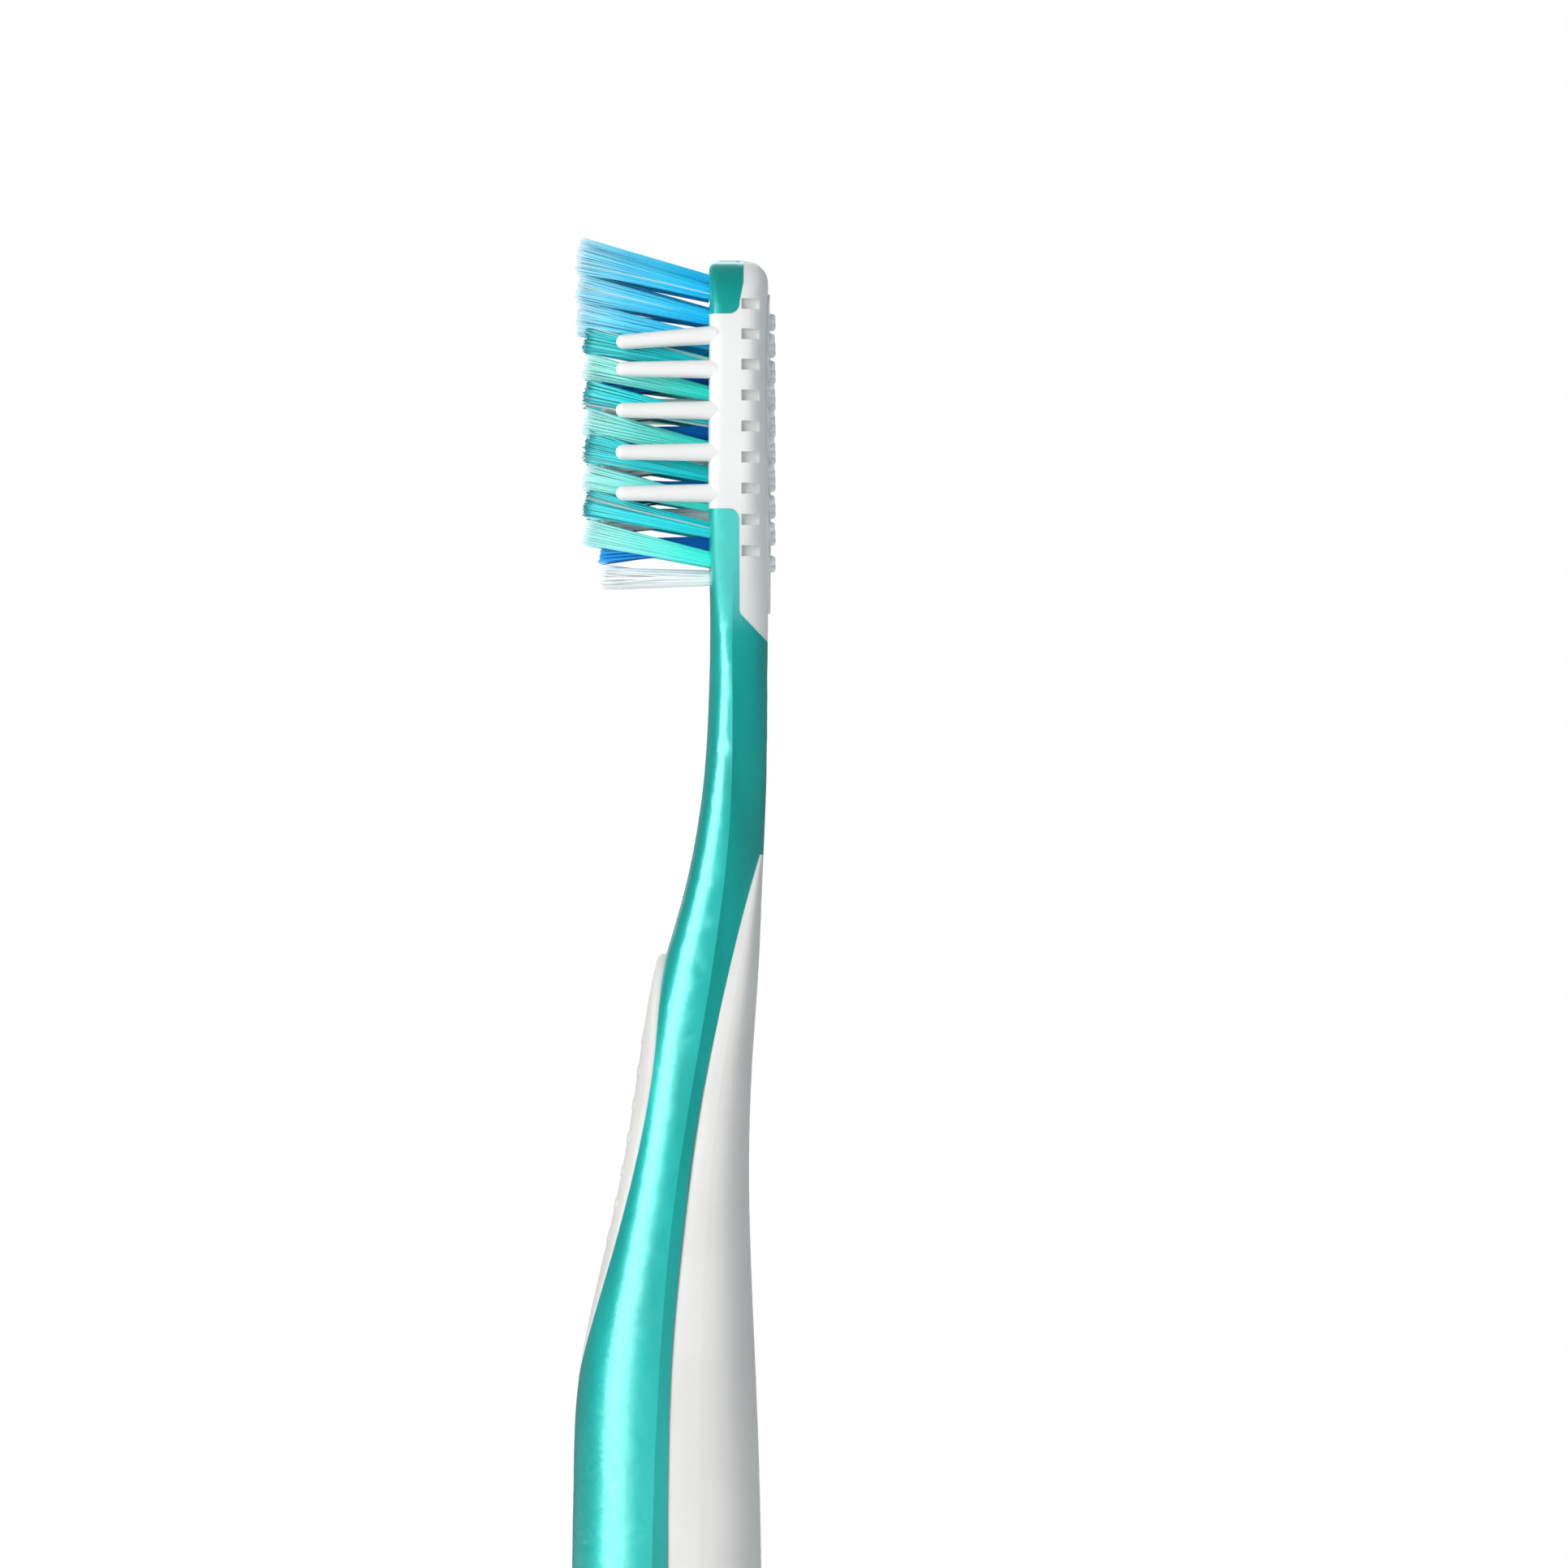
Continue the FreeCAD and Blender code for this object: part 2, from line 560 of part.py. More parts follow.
def tip_tufts():
    """The long tufts at the tip, alternately in the middle and in pairs that follow the edge."""
    tufts = []
    for number, (edge_gap, drop, rise, outward) in enumerate(TIP_ROWS, 1):
        name = "tuft_tip%d" % number
        if edge_gap is None:
            tufts.append(Tuft(name, 0.0, drop, LONG_TRIM, rise, 0, TUFT_FLARE))
        else:
            x = half_width(Z_TIP - drop) - edge_gap - TUFT_RADIUS
            tufts += pair(name, x, drop, LONG_TRIM, rise, -outward, TUFT_FLARE)
    return tufts


def tuft_layout():
    """All tufts from the tip of the head to its heel."""
    finger_row = half_width(Z_TIP - FINGERS[0][0]) - FINGER_INSET
    tip_room = finger_row - FINGER_TIP_RADIUS - TUFT_RADIUS
    mint_row = SIDE_ROW - TUFT_ROW_STEP
    inner = TUFT_PAIR_HALF
    tufts = tip_tufts()
    for index in range(SIDE_COUNT):
        number = str(index + 1)
        drop = SIDE_DROP + TUFT_PITCH * index
        teal_row = min(SIDE_ROW, tip_room) if index == 0 else SIDE_ROW
        upright = (SIDE_TRIM, SIDE_RISE)
        sunken = (INNER_TRIM, -INNER_FALL, 0, INNER_FLARE)
        tufts += pair("tuft_teal" + number, teal_row, drop, *upright, SIDE_LEAN, TUFT_FLARE)
        tufts += pair("tuft_mint" + number, mint_row, drop + MINT_STEP, *upright, 0, TUFT_FLARE)
        tufts += pair("tuft_deep" + number, inner, drop + DEEP_STEP, *sunken)
        if index < SIDE_COUNT - 1:
            tufts += pair("tuft_white" + number, inner, drop + WHITE_STEP, *sunken)
    return tufts + pair("tuft_heel", inner, HEEL_DROP, INNER_TRIM, 0, 0, 0.0)


def build_parts():
    """Every piece by its node name."""
    envelope = loft([envelope_section(z) for z in body_heights()])
    grip, spine, grip_space = build_grip()
    thumb_pad, recess = build_pad()
    cleaner = build_cleaner()
    head_space = rubber_space()
    tufts = tuft_layout()
    anchors = [tuft.anchor() for tuft in tufts]
    fingers = [build_finger(side, drop, droop) for side in (-1, 1) for drop, droop in FINGERS]
    pockets = [build_pocket(side, POCKET_DROP + POCKET_PITCH * index)
               for side in (-1, 1) for index in range(POCKET_COUNT)]

    rubber = envelope.common(head_space).fuse(fingers).cut(pockets + [cleaner])
    core = envelope.cut([grip_space, recess, head_space]).fuse(spine)
    core = core.cut(fingers + [tuft.hole() for tuft in tufts] + anchors + [cleaner, build_mark()])
    parts = {"handle_core": core, "thumb_pad": thumb_pad, "back_grip": grip, "head_rubber": rubber,
             "tongue_cleaner": cleaner, "tuft_anchors": Part.makeCompound(anchors)}
    for tuft in tufts:
        parts[tuft.name] = tuft.solid()
    return parts


def single(shape):
    """The one solid of a shape."""
    if len(shape.Solids) != 1:
        raise ValueError("expected one solid, found %d" % len(shape.Solids))
    return shape.Solids[0]


os.makedirs("parts", exist_ok=True)
for node, shape in build_parts().items():
    piece = shape if node == "tuft_anchors" else single(shape)
    piece.exportStep("parts/" + node + ".step")
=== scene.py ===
"""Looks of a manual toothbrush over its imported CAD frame, laid out as an add-on and run as a script."""

import json
import math

import bpy
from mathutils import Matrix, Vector


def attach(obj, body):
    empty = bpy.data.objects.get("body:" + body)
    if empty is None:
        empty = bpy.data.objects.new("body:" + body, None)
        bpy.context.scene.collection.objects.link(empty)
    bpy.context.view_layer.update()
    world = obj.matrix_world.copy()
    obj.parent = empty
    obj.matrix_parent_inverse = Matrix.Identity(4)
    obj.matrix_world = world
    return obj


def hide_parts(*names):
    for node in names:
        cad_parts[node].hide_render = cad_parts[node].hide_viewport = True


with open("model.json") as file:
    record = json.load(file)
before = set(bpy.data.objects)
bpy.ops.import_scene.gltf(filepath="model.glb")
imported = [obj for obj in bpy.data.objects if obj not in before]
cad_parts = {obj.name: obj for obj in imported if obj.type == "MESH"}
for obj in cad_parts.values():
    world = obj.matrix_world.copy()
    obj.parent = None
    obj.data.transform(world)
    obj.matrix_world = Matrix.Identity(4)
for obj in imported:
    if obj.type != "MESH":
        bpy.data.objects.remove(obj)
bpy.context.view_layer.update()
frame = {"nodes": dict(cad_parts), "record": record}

bl_info = {
    "name": "Manual toothbrush",
    "version": (1, 0, 0),
    "blender": (4, 5, 0),
    "location": "View3D > Sidebar > Toothbrush",
    "description": "Finishes the moulded pieces of a toothbrush and grows its bristles",
    "category": "Object",
}

MM = 0.001
BODY = "root"
SLOTS = {entry["node"]: entry["material_slot"] for entry in frame["record"]["subparts"]}
# How far a vertex may lie off the plane of an end disc
RIM_SLACK = 0.01 * MM
# Seeds lie apart so that no two tufts share a chance
SEED_STEP = 7

COLOUR = {"subtype": "COLOR", "size": 4}
LENGTH = {"unit": "LENGTH", "precision": 6}

# Dyes of the nylon from the hole to the trimmed end, deepened by painted shade towards the hole and paled by
# painted light towards the end, share of undyed strands, and how unlike strands are
DYE_AND_SHADING_PLACES = (0.0, 0.3, 0.67, 0.94, 1.0)
NYLONS = {
    "nylon_light_blue": (("#00C2FF", "#30D2FF", "#64E0FF", "#A6EDFF", "#E4F8FF"), 0.02, 0.07),
    "nylon_teal": (("#00C4CC", "#10D4DC", "#38E0E6", "#64E8EC", "#0A8A94"), 0.06, 0.26),
    "nylon_mint": (("#10F2E2", "#54F8EC", "#96FCF4", "#BCFDF8", "#E6FFFD"), 0.0, 0.04),
    "nylon_deep_blue": (("#0066D8", "#0884E8", "#0E98F0", "#2AB0F8", "#38BCFC"), 0.0, 0.1),
    "nylon_clear": (("#F4F8FA", "#F8FBFC", "#FAFCFD", "#FDFEFE", "#FFFFFF"), 0.0, 0.03),
}

TUFT_INPUTS = (
    ("Root", "NodeSocketVector"), ("Tip", "NodeSocketVector"),
    ("Root radius", "NodeSocketFloat"), ("Tip radius", "NodeSocketFloat"),
    ("Filaments", "NodeSocketInt"), ("Filament radius", "NodeSocketFloat"),
    ("Uneven", "NodeSocketFloat"), ("Wander", "NodeSocketFloat"), ("Stray", "NodeSocketFloat"),
    ("Slope", "NodeSocketFloat"), ("Seed", "NodeSocketInt"), ("Material", "NodeSocketMaterial"),
)


def linear(code):
    """Linear colour with alpha from an sRGB hex value."""
    parts = [int(code[place:place + 2], 16) / 255 for place in (1, 3, 5)]
    return tuple(c / 12.92 if c <= 0.04045 else ((c + 0.055) / 1.055) ** 2.4 for c in parts) + (1.0,)


def per_metre(size_mm):
    """Texture scale at which a feature is about size_mm wide."""
    return 1.0 / (size_mm * MM)


def add(tree, kind, inputs=None, stops=(), **settings):
    """Adds a node with its settings; an input is a value, or the node or socket that feeds it."""
    made = tree.nodes.new(kind)
    for name, value in settings.items():
        setattr(made, name, value)
    for name, value in (inputs or {}).items():
        if isinstance(value, bpy.types.Node):
            value = value.outputs[0]
        if isinstance(value, bpy.types.NodeSocket):
            tree.links.new(value, made.inputs[name])
        else:
            made.inputs[name].default_value = value
    if stops:
        elements = made.color_ramp.elements
        for _ in stops[2:]:
            elements.new(1.0)
        for element, (place, colour) in zip(elements, stops):
            element.position = place
            element.color = colour
    return made


def new_material(name, constants):
    """Material whose one Principled shader has these constant values, with its tree and that shader."""
    material = bpy.data.materials.new(name)
    material.use_nodes = True
    tree = material.node_tree
    tree.nodes.clear()
    shader = add(tree, "ShaderNodeBsdfPrincipled", constants)
    add(tree, "ShaderNodeOutputMaterial", {"Surface": shader})
    return material, tree, shader


class BrushColours(bpy.types.PropertyGroup):
    """Colours of the moulded pieces and of the undyed strands."""
    core: bpy.props.FloatVectorProperty(
        name="Core", description="Pearl plastic of the handle", default=linear("#00C4BC"), **COLOUR)
    core_dark: bpy.props.FloatVectorProperty(
        name="Core dark", description="Dark swirls of the pearl", default=linear("#00B6AE"), **COLOUR)
    core_light: bpy.props.FloatVectorProperty(
        name="Core light", description="Pale swirls of the pearl", default=linear("#00D2CA"), **COLOUR)
    # The grip colours are drawn darker than the head colours as painted shade for the lower light on the grip
    grip: bpy.props.FloatVectorProperty(
        name="Grip", description="Thumb pad and back grip", default=linear("#DEDDDA"), **COLOUR)
    grip_dark: bpy.props.FloatVectorProperty(
        name="Grip dark", description="Clouding of the grip", default=linear("#D8D7D4"), **COLOUR)
    head: bpy.props.FloatVectorProperty(
        name="Head", description="Head rubber and fingers", default=linear("#ECEDEB"), **COLOUR)
    head_dark: bpy.props.FloatVectorProperty(
        name="Head dark", description="Clouding of the head rubber", default=linear("#E6E8E7"), **COLOUR)
    cleaner: bpy.props.FloatVectorProperty(
        name="Cleaner", description="Milky rubber of the tongue cleaner", default=linear("#FAFCFC"), **COLOUR)
    undyed: bpy.props.FloatVectorProperty(
        name="Undyed", description="Undyed strands among the dyed ones", default=linear("#D9F1F2"), **COLOUR)


class BristleSizes(bpy.types.PropertyGroup):
    """Sizes of the bristles."""
    count: bpy.props.IntProperty(name="Filaments", description="Filaments in a tuft", default=125, min=8)
    radius: bpy.props.FloatProperty(
        name="Filament radius", description="Half the thickness of a filament", default=0.088 * MM, **LENGTH)
    start: bpy.props.FloatProperty(
        name="Start", description="Height above the bottom of the hole where the filaments start",
        default=1.2 * MM, **LENGTH)
    squeeze: bpy.props.FloatProperty(
        name="Squeeze", description="How much narrower a tuft is where it starts", default=0.08 * MM, **LENGTH)
    uneven: bpy.props.FloatProperty(
        name="Uneven", description="How far the ends of the filaments differ", default=0.45 * MM, **LENGTH)
    wander: bpy.props.FloatProperty(
        name="Wander", description="How far the ends leave their places", default=0.16 * MM, **LENGTH)
    stray: bpy.props.FloatProperty(
        name="Stray", description="How much further the few stray ends go", default=0.9 * MM, **LENGTH)
    spread: bpy.props.FloatProperty(
        name="Spread", description="Extra radius of a tuft at its trimmed end", default=0.26 * MM, **LENGTH)
    slope: bpy.props.FloatProperty(
        name="Trim slope", description="How far the trimmed end leans to be square to the tuft", default=0.25)


class StudioSizes(bpy.types.PropertyGroup):
    """Camera and surround of the studio."""
    distance: bpy.props.FloatProperty(
        name="Distance", description="From the brush to the camera", default=0.65, **LENGTH)
    framed: bpy.props.FloatProperty(
        name="Framed", description="Height that the picture shows at the brush", default=138 * MM, **LENGTH)
    centre: bpy.props.FloatVectorProperty(
        name="Centre", description="Point in the middle of the picture", default=(0.0, 9.47 * MM, 144 * MM),
        subtype="TRANSLATION", precision=6)
    ambient: bpy.props.FloatProperty(
        name="Ambient", description="Light from the surround on the brush", default=0.24, min=0.0)


def pearl_plastic(look):
    """Polypropylene with pearl pigment, injection moulded."""
    # Flakes of high index close under the glossy skin give a pale broad shine over a deep colour
    material, tree, shader = new_material("pearl_polypropylene_moulded", {
        "Metallic": 0.5, "Roughness": 0.42, "IOR": 1.46,
        "Coat Weight": 1.0, "Coat IOR": 1.8, "Coat Roughness": 0.25})
    place = add(tree, "ShaderNodeTexCoord").outputs["Object"]
    # The melt flowed along the handle, so a swirl 5 mm wide is four to five times as long
    flow = add(tree, "ShaderNodeMapping", {"Vector": place, "Scale": (1.0, 1.0, 0.22)})
    swirl = add(tree, "ShaderNodeTexNoise", {
        "Vector": flow, "Scale": per_metre(5.0), "Detail": 3.0, "Roughness": 0.45, "Distortion": 0.6})
    # Pearl flakes are about 0.06 mm across
    flake = add(tree, "ShaderNodeTexVoronoi", {"Vector": place, "Scale": per_metre(0.06)}).outputs["Color"]
    mixed = add(tree, "ShaderNodeMath", {0: flake, 1: 0.22, 2: swirl}, operation="MULTIPLY_ADD")
    colour = add(tree, "ShaderNodeValToRGB", {"Fac": mixed}, [
        (0.40, look.core_dark), (0.60, look.core), (0.80, look.core_light)])
    # Each flake lies a little askew, which breaks the shine into a fine grain
    normal = add(tree, "ShaderNodeNewGeometry").outputs["Normal"]
    askew_by = 0.05
    tilt = add(tree, "ShaderNodeVectorMath", {0: flake, 1: (askew_by,) * 3, 2: (-askew_by / 2,) * 3},
               operation="MULTIPLY_ADD")
    askew = add(tree, "ShaderNodeVectorMath", {0: normal, 1: tilt}, operation="ADD")
    facing = add(tree, "ShaderNodeVectorMath", {0: askew}, operation="NORMALIZE")
    tree.links.new(colour.outputs["Color"], shader.inputs["Base Color"])
    tree.links.new(facing.outputs[0], shader.inputs["Normal"])
    tree.links.new(facing.outputs[0], shader.inputs["Coat Normal"])
    return material


def soft_elastomer(name, pale, dark, grain_mm, roughness):
    """White thermoplastic elastomer, moulded over the core."""
    # A spark-eroded mould leaves an even satin grain, and the thin edges let a little light in
    material, tree, shader = new_material(name, {
        "IOR": 1.48, "Subsurface Weight": 0.25, "Subsurface Radius": (1.0, 1.0, 1.0),
        "Subsurface Scale": 0.6 * MM})
    place = add(tree, "ShaderNodeTexCoord").outputs["Object"]
    cloud = add(tree, "ShaderNodeTexNoise", {"Vector": place, "Scale": per_metre(9.0), "Detail": 2.0})
    colour = add(tree, "ShaderNodeValToRGB", {"Fac": cloud}, [(0.35, dark), (0.65, pale)])
    # The real grain is finer than a pixel, so it is drawn at grain_mm to show
    grain = add(tree, "ShaderNodeTexNoise", {"Vector": place, "Scale": per_metre(grain_mm), "Detail": 2.0})
    rough = add(tree, "ShaderNodeMapRange", {
        "Value": grain, "From Min": 0.3, "From Max": 0.7,
        "To Min": roughness - 0.06, "To Max": roughness + 0.06})
    bump = add(tree, "ShaderNodeBump", {"Strength": 0.12, "Distance": 0.02 * MM, "Height": grain})
    tree.links.new(colour.outputs["Color"], shader.inputs["Base Color"])
    tree.links.new(rough.outputs["Result"], shader.inputs["Roughness"])
    tree.links.new(bump.outputs["Normal"], shader.inputs["Normal"])
    return material


def milky_elastomer(look):
    """Undyed thermoplastic elastomer, moulded as a thin strip with nubs."""
    # It is milky, a little see-through, and shines like wet rubber
    material, tree, shader = new_material("milky_elastomer_moulded", {
        "Transmission Weight": 0.1, "Roughness": 0.25, "IOR": 1.45})
    place = add(tree, "ShaderNodeTexCoord").outputs["Object"]
    cloud = add(tree, "ShaderNodeTexNoise", {"Vector": place, "Scale": per_metre(1.2), "Detail": 2.0})
    colour = add(tree, "ShaderNodeValToRGB", {"Fac": cloud}, [(0.3, linear("#EDF2F2")), (0.7, look.cleaner)])
    tree.links.new(colour.outputs["Color"], shader.inputs["Base Color"])
    return material


def rolled_brass():
    """Brass wire, rolled flat and cut into anchor plates."""
    # Rolling leaves fine bright lines along the strip
    material, tree, shader = new_material("brass_wire_rolled", {"Metallic": 1.0, "Roughness": 0.3})
    place = add(tree, "ShaderNodeTexCoord").outputs["Object"]
    drawn = add(tree, "ShaderNodeMapping", {"Vector": place, "Scale": (0.05, 1.0, 1.0)})
    lines = add(tree, "ShaderNodeTexNoise", {"Vector": drawn, "Scale": per_metre(0.05)})
    colour = add(tree, "ShaderNodeValToRGB", {"Fac": lines}, [
        (0.3, linear("#B49A5A")), (0.7, linear("#D8C48A"))])
    tree.links.new(colour.outputs["Color"], shader.inputs["Base Color"])
    return material


def extruded_nylon(slot, look):
    """Nylon filament, extruded and end-rounded, in the dye of one slot, with painted shade and painted light
    along it.
    """
    # The dye is drawn deeper towards the hole as painted shade and paler further out as painted light, and
    # only the cut ends of the teal look dark
    dyes_and_shading, undyed_share, unlike = NYLONS[slot]
    material, tree, shader = new_material(slot + "_extruded", {"Roughness": 0.32, "IOR": 1.53})
    along = add(tree, "ShaderNodeAttribute", attribute_name="along").outputs["Fac"]
    strand = add(tree, "ShaderNodeAttribute", attribute_name="strand").outputs["Fac"]
    # Painted shade towards the hole, painted light towards the trimmed end
    dyed_and_shaded = add(tree, "ShaderNodeValToRGB", {"Fac": along}, [
        (place, linear(dye)) for place, dye in zip(DYE_AND_SHADING_PLACES, dyes_and_shading)])
    is_undyed = add(tree, "ShaderNodeMath", {0: strand, 1: undyed_share}, operation="LESS_THAN")
    mixed = add(tree, "ShaderNodeMix", {0: is_undyed, 6: dyed_and_shaded, 7: look.undyed}, data_type="RGBA").outputs[2]
    tone = add(tree, "ShaderNodeMapRange", {"Value": strand, "To Min": 1.0 - unlike, "To Max": 1.0 + unlike})
    toned = add(tree, "ShaderNodeHueSaturation", {"Value": tone, "Color": mixed})
    tree.links.new(toned.outputs["Color"], shader.inputs["Base Color"])
    return material


def tuft_tree():
    """Geometry tree of one tuft: evenly packed filaments from a disc in the hole to a wider trimmed end."""
    tree = bpy.data.node_groups.new("bristle_tuft", "GeometryNodeTree")
    tree.interface.new_socket("Geometry", in_out="OUTPUT", socket_type="NodeSocketGeometry")
    for name, kind in TUFT_INPUTS:
        tree.interface.new_socket(name, in_out="INPUT", socket_type=kind)
    given = add(tree, "NodeGroupInput").outputs
    index = add(tree, "GeometryNodeInputIndex")

    # Sunflower packing: each filament's place on a disc of radius 1
    golden_angle = math.pi * (3 - math.sqrt(5))
    half = add(tree, "ShaderNodeMath", {0: index, 1: 0.5}, operation="ADD")
    share = add(tree, "ShaderNodeMath", {0: half, 1: given["Filaments"]}, operation="DIVIDE")
    reach = add(tree, "ShaderNodeMath", {0: share}, operation="SQRT")
    turn = add(tree, "ShaderNodeMath", {0: index, 1: golden_angle}, operation="MULTIPLY")
    side = add(tree, "ShaderNodeMath", {0: turn}, operation="COSINE")
    rise = add(tree, "ShaderNodeMath", {0: turn}, operation="SINE")
    compass = add(tree, "ShaderNodeCombineXYZ", {"X": side, "Z": rise})
    disc = add(tree, "ShaderNodeVectorMath", {0: compass, "Scale": reach}, operation="SCALE")

    # Chances of each filament: its drift, how far it is cut back, its tone, and whether it strays
    seeds = [add(tree, "ShaderNodeMath", {0: given["Seed"], 1: step}, operation="ADD")
             for step in (1.0, 2.0, 3.0, 4.0)]
    drift = add(tree, "FunctionNodeRandomValue", {
        0: (-1.0, 0.0, -1.0), 1: (1.0, 0.0, 1.0), "ID": index, "Seed": seeds[0]}, data_type="FLOAT_VECTOR")
    cut, strand, odd = [
        add(tree, "FunctionNodeRandomValue", {"ID": index, "Seed": seed}, data_type="FLOAT").outputs[1]
        for seed in seeds[1:]]
    # Most filaments keep to the bundle, and the high power lets only a few leave it
    rarity = 14.0
    rare = add(tree, "ShaderNodeMath", {0: odd, 1: rarity}, operation="POWER")
    loose = add(tree, "ShaderNodeMath", {0: rare, 1: given["Stray"], 2: given["Wander"]},
                operation="MULTIPLY_ADD")
    drift = add(tree, "ShaderNodeVectorMath", {0: drift, "Scale": loose}, operation="SCALE")
    slant = add(tree, "ShaderNodeMath", {0: given["Slope"], 1: given["Tip radius"]}, operation="MULTIPLY")
    height = add(tree, "ShaderNodeMath", {0: reach, 1: rise}, operation="MULTIPLY")
    lift = add(tree, "ShaderNodeMath", {0: height, 1: slant}, operation="MULTIPLY")
    cut = add(tree, "ShaderNodeMath", {0: cut, 1: given["Uneven"], 2: lift}, operation="MULTIPLY_ADD")

    # One straight line for each filament carries these values
    points = add(tree, "GeometryNodePoints", {"Count": given["Filaments"]})
    kept = {"disc": (disc, "FLOAT_VECTOR"), "drift": (drift, "FLOAT_VECTOR"), "cut": (cut, "FLOAT"),
            "strand": (strand, "FLOAT")}
    for name, (value, kind) in kept.items():
        points = add(tree, "GeometryNodeStoreNamedAttribute", {
            "Geometry": points, "Name": name, "Value": value}, data_type=kind, domain="POINT")
    line = add(tree, "GeometryNodeCurvePrimitiveLine", {"End": (0.0, 0.0, 1.0)})
    line = add(tree, "GeometryNodeResampleCurve", {"Curve": line, "Count": 8})
    copies = add(tree, "GeometryNodeInstanceOnPoints", {"Points": points, "Instance": line})
    strands = add(tree, "GeometryNodeRealizeInstances", {"Geometry": copies})
    own = {name: add(tree, "GeometryNodeInputNamedAttribute", {"Name": name}, data_type=kind)
           for name, (value, kind) in kept.items()}

    # Steps along a filament lie closer together towards its rounded end
    factor = add(tree, "GeometryNodeSplineParameter").outputs["Factor"]
    left = add(tree, "ShaderNodeMath", {0: 1.0, 1: factor}, operation="SUBTRACT")
    square = add(tree, "ShaderNodeMath", {0: left, 1: left}, operation="MULTIPLY")
    along = add(tree, "ShaderNodeMath", {0: 1.0, 1: square}, operation="SUBTRACT")
    strands = add(tree, "GeometryNodeStoreNamedAttribute", {
        "Geometry": strands, "Name": "along", "Value": along}, data_type="FLOAT", domain="POINT")
    along = add(tree, "GeometryNodeInputNamedAttribute", {"Name": "along"}, data_type="FLOAT")

    # Each filament runs from its place in the hole to its place at the trimmed end, and drifts on the way
    from_middle = add(tree, "ShaderNodeVectorMath", {0: own["disc"], "Scale": given["Root radius"]},
                      operation="SCALE")
    start = add(tree, "ShaderNodeVectorMath", {0: given["Root"], 1: from_middle}, operation="ADD")
    from_middle = add(tree, "ShaderNodeVectorMath", {0: own["disc"], "Scale": given["Tip radius"]},
                      operation="SCALE")
    end = add(tree, "ShaderNodeVectorMath", {0: given["Tip"], 1: from_middle}, operation="ADD")
    axis = add(tree, "ShaderNodeVectorMath", {0: given["Tip"], 1: given["Root"]}, operation="SUBTRACT")
    way = add(tree, "ShaderNodeVectorMath", {0: axis}, operation="NORMALIZE")
    trimmed = add(tree, "ShaderNodeVectorMath", {0: way, "Scale": own["cut"]}, operation="SCALE")
    end = add(tree, "ShaderNodeVectorMath", {0: end, 1: trimmed}, operation="SUBTRACT")
    whole = add(tree, "ShaderNodeVectorMath", {0: end, 1: start}, operation="SUBTRACT")
    run = add(tree, "ShaderNodeVectorMath", {0: whole, "Scale": along}, operation="SCALE")
    late_bend = 1.6
    bend = add(tree, "ShaderNodeMath", {0: along, 1: late_bend}, operation="POWER")
    sway = add(tree, "ShaderNodeVectorMath", {0: own["drift"], "Scale": bend}, operation="SCALE")
    place = add(tree, "ShaderNodeVectorMath", {0: start, 1: run}, operation="ADD")
    place = add(tree, "ShaderNodeVectorMath", {0: place, 1: sway}, operation="ADD")
    strands = add(tree, "GeometryNodeSetPosition", {"Geometry": strands, "Position": place})

    # Six-sided tubes that narrow to a rounded end
    rounded = add(tree, "ShaderNodeMapRange", {
        "Value": factor, "From Min": 0.84, "From Max": 1.0, "To Min": 1.0, "To Max": 0.5})
    ring = add(tree, "GeometryNodeCurvePrimitiveCircle", {
        "Resolution": 6, "Radius": given["Filament radius"]})
    mesh = add(tree, "GeometryNodeCurveToMesh", {
        "Curve": strands, "Profile Curve": ring, "Scale": rounded, "Fill Caps": True})
    mesh = add(tree, "GeometryNodeSetShadeSmooth", {"Geometry": mesh, "Shade Smooth": True})
    mesh = add(tree, "GeometryNodeRealizeInstances", {"Geometry": mesh})
    mesh = add(tree, "GeometryNodeSetMaterial", {"Geometry": mesh, "Material": given["Material"]})
    add(tree, "NodeGroupOutput", {"Geometry": mesh})
    return tree


def disc_of(node, side):
    """Centre and radius of a tuft solid's end disc: side -1 is its tip, +1 its bottom in the hole."""
    places = [vertex.co for vertex in frame["nodes"][node].data.vertices]
    level = min(place.y * -side for place in places) * -side
    rim = [place for place in places if abs(place.y - level) < RIM_SLACK]
    low_x, high_x = min(place.x for place in rim), max(place.x for place in rim)
    low_z, high_z = min(place.z for place in rim), max(place.z for place in rim)
    return Vector(((low_x + high_x) / 2, level, (low_z + high_z) / 2)), (high_x - low_x) / 2


def grow_tuft(tree, node, seed, material):
    """Plain mesh of one tuft's filaments, grown between the end discs of its solid."""
    sizes = bpy.context.scene.bristle_sizes
    bottom, root_radius = disc_of(node, 1)
    tip, tip_radius = disc_of(node, -1)
    root = bottom + (tip - bottom) * (sizes.start / (bottom.y - tip.y))
    carrier = bpy.data.objects.new(node + "_grow", bpy.data.meshes.new(node + "_grow"))
    bpy.context.scene.collection.objects.link(carrier)
    modifier = carrier.modifiers.new("tuft", "NODES")
    modifier.node_group = tree
    values = {
        "Root": root, "Tip": tip, "Root radius": root_radius - sizes.radius - sizes.squeeze,
        "Tip radius": tip_radius + sizes.spread - sizes.radius, "Filaments": sizes.count,
        "Filament radius": sizes.radius, "Uneven": sizes.uneven, "Wander": sizes.wander, "Stray": sizes.stray,
        "Slope": sizes.slope, "Seed": seed, "Material": material}
    for item in tree.interface.items_tree:
        if item.in_out == "INPUT":
            modifier[item.identifier] = values[item.name]
    graph = bpy.context.evaluated_depsgraph_get()
    mesh = bpy.data.meshes.new_from_object(carrier.evaluated_get(graph), depsgraph=graph)
    bpy.data.objects.remove(carrier)
    return mesh


